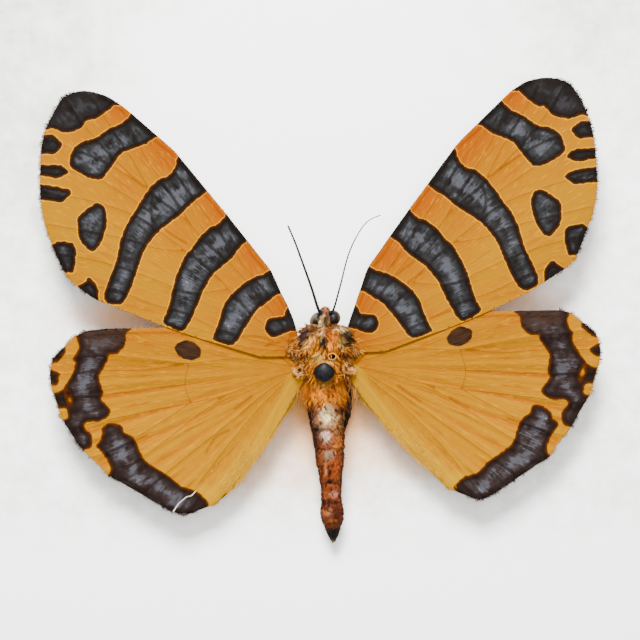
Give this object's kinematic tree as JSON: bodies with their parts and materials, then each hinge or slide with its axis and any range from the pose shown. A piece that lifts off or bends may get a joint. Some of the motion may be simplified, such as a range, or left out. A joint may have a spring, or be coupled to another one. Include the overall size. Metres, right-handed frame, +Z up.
{
  "type": "spread moth specimen on a mounting board",
  "caption": "Orange day-flying tiger moth with dark-banded wings, set with its wings spread flat and glued by the thorax above a plain square white mounting board.",
  "frame": {"origin": "centre of the mounting board's underside", "axes": "+Z up out of the board, +Y towards the moth's head, +X towards its right-hand wings seen from above"},
  "size_m": [0.084, 0.084, 0.0145],
  "materials": {
    "card": "matte white card",
    "glue": "dried clear glue",
    "fur": "long orange hair scales",
    "abdomen": "satin, short scales",
    "dark": "matt black",
    "eye": "glossy dark brown",
    "forewing": "scaled membrane",
    "hindwing": "scaled membrane"
  },
  "bodies": {
    "root": {"abdomen": "abdomen", "antenna_left": "dark", "antenna_right": "dark", "eye_left": "eye", "eye_right": "eye", "foreleg_left": "dark", "foreleg_right": "dark", "forewing_left": "forewing", "forewing_right": "forewing", "glue_dab": "glue", "head": "fur", "hindleg_left": "dark", "hindleg_right": "dark", "hindwing_left": "hindwing", "hindwing_right": "hindwing", "midleg_left": "dark", "midleg_right": "dark", "mounting_board": "card", "palp_left": "fur", "palp_right": "fur", "tail_tuft": "dark", "tegula_left": "fur", "tegula_right": "fur", "thorax": "fur"}
  },
  "joints": []
}
